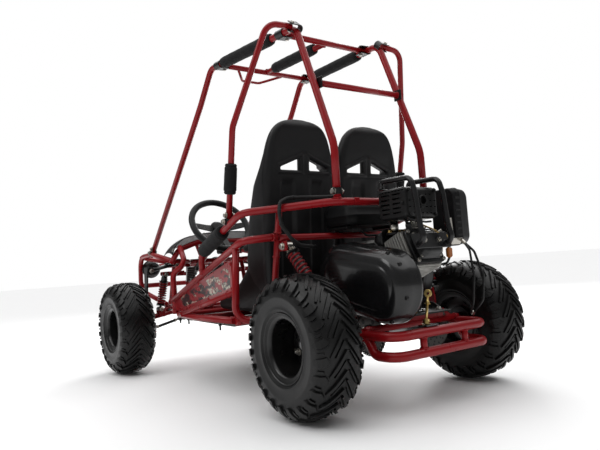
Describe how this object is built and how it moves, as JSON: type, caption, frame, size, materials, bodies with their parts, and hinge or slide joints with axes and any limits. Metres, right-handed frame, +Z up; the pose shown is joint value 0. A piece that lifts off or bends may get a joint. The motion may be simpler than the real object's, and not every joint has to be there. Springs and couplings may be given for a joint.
{
  "type": "off road go kart",
  "caption": "Off road go kart with side by side bucket seats, red tubular frame and roll cage, lugged tyres, front suspension arms and an engine on the rear swing arm.",
  "frame": {"origin": "middle of the kart on the ground, at the centre of its bounding box", "axes": "+X to the kart's left, -Y forward, +Z up"},
  "size_m": [0.922, 1.7286, 1.1619],
  "materials": {
    "frame_paint": "gloss",
    "foam": "matt foam",
    "black_plastic": "fine grain",
    "seat_cover": "matt",
    "rubber": "matt",
    "tyre": "matt",
    "steel": "plated",
    "alloy": "cast",
    "grey_paint": "satin",
    "red_plastic": "gloss",
    "black_paint": "satin"
  },
  "bodies": {
    "frame": {"chassis": "frame_paint", "upper_rail_loop": "frame_paint", "nose_frame": "frame_paint", "floor_pan": "alloy", "side_panel_left": "frame_paint", "side_panel_right": "frame_paint", "nose_cover": "black_plastic", "cage_hoop_left": "frame_paint", "cage_hoop_right": "frame_paint", "mid_pillar_left": "frame_paint", "mid_pillar_right": "frame_paint", "roof_frame": "frame_paint", "rear_brace_tube": "frame_paint", "seat_left": "seat_cover", "seat_right": "seat_cover", "wiring_loom": "rubber", "front_shock_body_left": "black_paint", "front_shock_body_right": "black_paint"},
    "kill_button": {"kill_button": "red_plastic"},
    "brake_pedal": {"brake_pedal": "steel"},
    "throttle_pedal": {"throttle_pedal": "steel"},
    "steering_wheel": {"steering_wheel": "black_plastic", "steering_column": "steel"},
    "steering_lower_shaft": {"steering_lower_shaft": "steel"},
    "steering_rack": {"steering_rack": "steel"},
    "swing_arm": {"swing_arm": "frame_paint", "engine_block": "alloy", "fuel_tank": "black_plastic", "muffler": "black_paint", "air_cleaner": "black_plastic", "engine_guard": "black_paint", "belt_cover": "black_paint", "control_cables": "rubber"},
    "drive_clutch": {"drive_clutch": "steel"},
    "driven_pulley": {"driven_pulley": "steel"},
    "rear_axle": {"rear_axle": "steel", "rear_rim_left": "grey_paint", "rear_rim_right": "grey_paint", "rear_tyre_left": "tyre", "rear_tyre_right": "tyre"},
    "tie_rod_left": {"tie_rod_left": "steel"},
    "lower_arm_left": {"lower_arm_left": "frame_paint"},
    "upper_arm_left": {"upper_arm_left": "black_paint"},
    "kingpin_carrier_left": {"kingpin_carrier_left": "black_paint"},
    "knuckle_left": {"knuckle_left": "steel"},
    "front_wheel_left": {"front_rim_left": "grey_paint", "front_tyre_left": "tyre"},
    "front_shock_rod_left": {"front_shock_rod_left": "steel"},
    "rear_shock_body_left": {"rear_shock_body_left": "black_paint"},
    "rear_shock_rod_left": {"rear_shock_rod_left": "steel"},
    "tie_rod_right": {"tie_rod_right": "steel"},
    "lower_arm_right": {"lower_arm_right": "frame_paint"},
    "upper_arm_right": {"upper_arm_right": "black_paint"},
    "kingpin_carrier_right": {"kingpin_carrier_right": "black_paint"},
    "knuckle_right": {"knuckle_right": "steel"},
    "front_wheel_right": {"front_rim_right": "grey_paint", "front_tyre_right": "tyre"},
    "front_shock_rod_right": {"front_shock_rod_right": "steel"},
    "rear_shock_body_right": {"rear_shock_body_right": "black_paint"},
    "rear_shock_rod_right": {"rear_shock_rod_right": "steel"}
  },
  "joints": [
    {"name": "steering_turn", "type": "hinge", "parent": "frame", "child": "steering_wheel", "pos_m": [0.13, -0.1607, 0.575], "axis": [0, -0.8331, -0.5531], "range_deg": [-75, 75]},
    {"name": "lower_shaft_turn", "type": "hinge", "parent": "frame", "child": "steering_lower_shaft", "pos_m": [0.13, -0.42896, 0.3969], "axis": [0, -0.2326, -0.9726], "range_deg": [-76, 76]},
    {"name": "rack_slide", "type": "slide", "parent": "frame", "child": "steering_rack", "axis": [1, 0, 0], "range_m": [-0.032, 0.032]},
    {"name": "brake_pedal_press", "type": "hinge", "parent": "frame", "child": "brake_pedal", "pos_m": [0.089, -0.4077, 0.262], "axis": [1, 0, 0], "range_deg": [0, 18], "stiffness_Nm_per_rad": 8, "springref_deg": -8.59},
    {"name": "throttle_pedal_press", "type": "hinge", "parent": "frame", "child": "throttle_pedal", "pos_m": [0.173, -0.4077, 0.262], "axis": [1, 0, 0], "range_deg": [0, 18], "stiffness_Nm_per_rad": 6, "springref_deg": -8.59},
    {"name": "kill_button_press", "type": "slide", "parent": "frame", "child": "kill_button", "axis": [0, -1, 0], "range_m": [0, 0.0025], "stiffness_N_per_m": 300, "springref_m": -0.003},
    {"name": "lower_arm_swing_left", "type": "hinge", "parent": "frame", "child": "lower_arm_left", "pos_m": [0.184, -0.5587, 0.238], "axis": [0, -1, 0], "range_deg": [-8, 12]},
    {"name": "upper_arm_swing_left", "type": "hinge", "parent": "frame", "child": "upper_arm_left", "pos_m": [0.176, -0.5587, 0.44], "axis": [0, -1, 0], "range_deg": [-8.2, 12.2]},
    {"name": "carrier_swing_left", "type": "hinge", "parent": "lower_arm_left", "child": "kingpin_carrier_left", "pos_m": [0.288, -0.5587, 0.214], "axis": [0, -1, 0], "range_deg": [-12.2, 8.2]},
    {"name": "kingpin_turn_left", "type": "hinge", "parent": "kingpin_carrier_left", "child": "knuckle_left", "pos_m": [0.313, -0.5587, 0.188], "axis": [0, 0, 1], "range_deg": [-24.5, 24.5]},
    {"name": "front_wheel_spin_left", "type": "hinge", "parent": "knuckle_left", "child": "front_wheel_left", "pos_m": [0.392, -0.5587, 0.188], "axis": [1, 0, 0], "continuous": true},
    {"name": "tie_rod_swing_left", "type": "hinge", "parent": "steering_rack", "child": "tie_rod_left", "pos_m": [0.184, -0.4827, 0.205], "axis": [0, -1, 0], "range_deg": [-8.2, 12.2]},
    {"name": "front_shock_slide_left", "type": "slide", "parent": "frame", "child": "front_shock_rod_left", "axis": [0.2013, 0, -0.9795], "range_m": [-0.015, 0.01]},
    {"name": "rear_shock_swing_left", "type": "hinge", "parent": "frame", "child": "rear_shock_body_left", "pos_m": [0.254, 0.4873, 0.452], "axis": [0.8961, 0.429, 0.114], "range_deg": [-2.2, 2.2]},
    {"name": "rear_shock_slide_left", "type": "slide", "parent": "rear_shock_body_left", "child": "rear_shock_rod_left", "axis": [-0.1613, 0.5544, -0.8165], "range_m": [-0.0165, 0.0165]},
    {"name": "lower_arm_swing_right", "type": "hinge", "parent": "frame", "child": "lower_arm_right", "pos_m": [-0.184, -0.5587, 0.238], "axis": [0, 1, 0], "range_deg": [-8, 12]},
    {"name": "upper_arm_swing_right", "type": "hinge", "parent": "frame", "child": "upper_arm_right", "pos_m": [-0.176, -0.5587, 0.44], "axis": [0, 1, 0], "range_deg": [-8.2, 12.2]},
    {"name": "carrier_swing_right", "type": "hinge", "parent": "lower_arm_right", "child": "kingpin_carrier_right", "pos_m": [-0.288, -0.5587, 0.214], "axis": [0, 1, 0], "range_deg": [-12.2, 8.2]},
    {"name": "kingpin_turn_right", "type": "hinge", "parent": "kingpin_carrier_right", "child": "knuckle_right", "pos_m": [-0.313, -0.5587, 0.188], "axis": [0, 0, 1], "range_deg": [-24.5, 24.5]},
    {"name": "front_wheel_spin_right", "type": "hinge", "parent": "knuckle_right", "child": "front_wheel_right", "pos_m": [-0.392, -0.5587, 0.188], "axis": [1, 0, 0], "continuous": true},
    {"name": "tie_rod_swing_right", "type": "hinge", "parent": "steering_rack", "child": "tie_rod_right", "pos_m": [-0.184, -0.4827, 0.205], "axis": [0, 1, 0], "range_deg": [-8.2, 12.2]},
    {"name": "front_shock_slide_right", "type": "slide", "parent": "frame", "child": "front_shock_rod_right", "axis": [-0.2013, 0, -0.9795], "range_m": [-0.015, 0.01]},
    {"name": "rear_shock_swing_right", "type": "hinge", "parent": "frame", "child": "rear_shock_body_right", "pos_m": [-0.254, 0.4873, 0.452], "axis": [0.8961, -0.429, -0.114], "range_deg": [-2.2, 2.2]},
    {"name": "rear_shock_slide_right", "type": "slide", "parent": "rear_shock_body_right", "child": "rear_shock_rod_right", "axis": [0.1613, 0.5544, -0.8165], "range_m": [-0.0165, 0.0165]},
    {"name": "swing_arm_swing", "type": "hinge", "parent": "frame", "child": "swing_arm", "pos_m": [0, 0.3623, 0.238], "axis": [1, 0, 0], "range_deg": [-4, 4]},
    {"name": "rear_axle_spin", "type": "hinge", "parent": "swing_arm", "child": "rear_axle", "pos_m": [0, 0.6273, 0.188], "axis": [1, 0, 0], "continuous": true},
    {"name": "driven_pulley_spin", "type": "hinge", "parent": "swing_arm", "child": "driven_pulley", "pos_m": [0.124, 0.7523, 0.34], "axis": [1, 0, 0], "continuous": true},
    {"name": "drive_clutch_spin", "type": "hinge", "parent": "swing_arm", "child": "drive_clutch", "pos_m": [0.12, 0.6073, 0.352], "axis": [1, 0, 0], "continuous": true}
  ],
  "couplings": [
    {"joint": "lower_shaft_turn", "follows": "steering_turn", "ratio": 1},
    {"joint": "rack_slide", "follows": "steering_turn", "m_per_rad": 0.0237},
    {"joint": "upper_arm_swing_left", "follows": "lower_arm_swing_left", "ratio": 1},
    {"joint": "carrier_swing_left", "follows": "lower_arm_swing_left", "ratio": -1},
    {"joint": "kingpin_turn_left", "follows": "steering_turn", "ratio": -0.32},
    {"joint": "tie_rod_swing_left", "follows": "lower_arm_swing_left", "ratio": 1},
    {"joint": "front_shock_slide_left", "follows": "lower_arm_swing_left", "m_per_rad": -0.069},
    {"joint": "rear_shock_swing_left", "follows": "swing_arm_swing", "ratio": 0.486},
    {"joint": "rear_shock_slide_left", "follows": "swing_arm_swing", "m_per_rad": -0.221},
    {"joint": "upper_arm_swing_right", "follows": "lower_arm_swing_right", "ratio": 1},
    {"joint": "carrier_swing_right", "follows": "lower_arm_swing_right", "ratio": -1},
    {"joint": "kingpin_turn_right", "follows": "steering_turn", "ratio": -0.32},
    {"joint": "tie_rod_swing_right", "follows": "lower_arm_swing_right", "ratio": 1},
    {"joint": "front_shock_slide_right", "follows": "lower_arm_swing_right", "m_per_rad": -0.069},
    {"joint": "rear_shock_swing_right", "follows": "swing_arm_swing", "ratio": 0.486},
    {"joint": "rear_shock_slide_right", "follows": "swing_arm_swing", "m_per_rad": -0.221},
    {"joint": "driven_pulley_spin", "follows": "rear_axle_spin", "ratio": 2.583}
  ]
}
